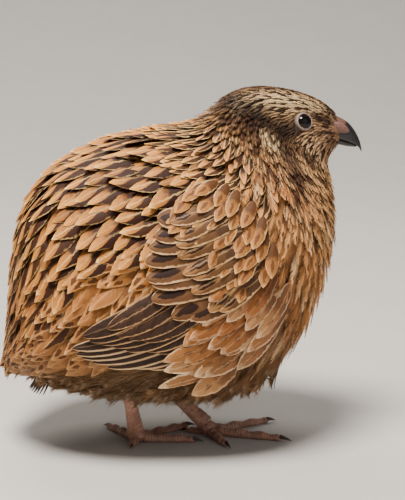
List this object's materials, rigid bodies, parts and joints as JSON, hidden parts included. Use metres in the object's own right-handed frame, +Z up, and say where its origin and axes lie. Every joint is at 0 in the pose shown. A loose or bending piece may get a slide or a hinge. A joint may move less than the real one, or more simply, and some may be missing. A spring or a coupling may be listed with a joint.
{
  "type": "coturnix quail",
  "caption": "Life-size still model of a golden coturnix quail, fluffed and standing on its own feet, head drawn in and facing forward.",
  "frame": {"origin": "on the floor, under the centre of the whole bird's box", "axes": "+X where the bill points, +Y the bird's left side, +Z up"},
  "size_m": [0.1259, 0.0902, 0.1252],
  "materials": {
    "body_feather": "golden-buff body feathers with dark brown bars and streaks, pale edges and a soft sheen",
    "flight_feather": "dark grey-brown vanes with thin pale buff edges",
    "bill": "dark grey horn, fleshy pink-brown at the base",
    "eye": "wet, very dark brown eye",
    "leg_skin": "pinkish flesh-brown scaled skin",
    "claw": "dark brown horn"
  },
  "bodies": {
    "root": {"bill_lower": "bill", "bill_upper": "bill", "eye_left": "eye", "eye_right": "eye", "head": "body_feather", "leg_left": "leg_skin", "leg_right": "leg_skin", "neck": "body_feather", "tail": "flight_feather", "toe_left_hind": "leg_skin", "toe_left_hind_claw": "claw", "toe_left_inner": "leg_skin", "toe_left_inner_claw": "claw", "toe_left_middle": "leg_skin", "toe_left_middle_claw": "claw", "toe_left_outer": "leg_skin", "toe_left_outer_claw": "claw", "toe_right_hind": "leg_skin", "toe_right_hind_claw": "claw", "toe_right_inner": "leg_skin", "toe_right_inner_claw": "claw", "toe_right_middle": "leg_skin", "toe_right_middle_claw": "claw", "toe_right_outer": "leg_skin", "toe_right_outer_claw": "claw", "torso": "body_feather", "wing_left": "flight_feather", "wing_right": "flight_feather"}
  },
  "joints": []
}
